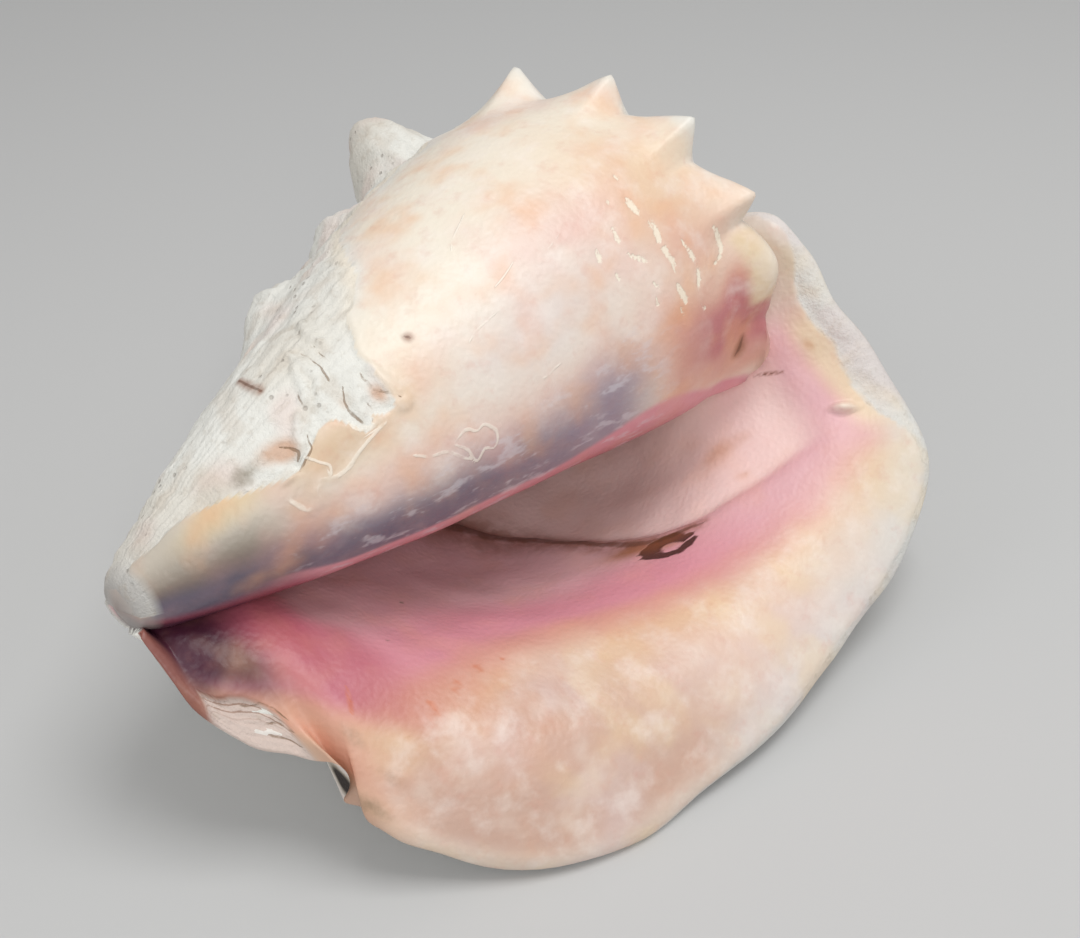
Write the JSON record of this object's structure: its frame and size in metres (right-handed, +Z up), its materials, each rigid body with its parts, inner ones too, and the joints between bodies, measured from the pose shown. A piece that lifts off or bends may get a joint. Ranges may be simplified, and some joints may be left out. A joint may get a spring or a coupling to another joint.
{
  "type": "conch shell",
  "caption": "Large conch shell lying on its back, with a wide flared pink lip, a long aperture and blunt shoulder spines.",
  "frame": {"origin": "centre of the bounding box's base, on the surface that the shell lies on", "axes": "+X from the siphonal tip to the apex, +Z up, the flared lip towards -Y"},
  "size_m": [0.224, 0.182, 0.127],
  "materials": {
    "shell": "pink and peach glaze with a dull gloss inside, chalky white and cream outside"
  },
  "bodies": {
    "root": {"conch_shell": "shell"}
  },
  "joints": []
}
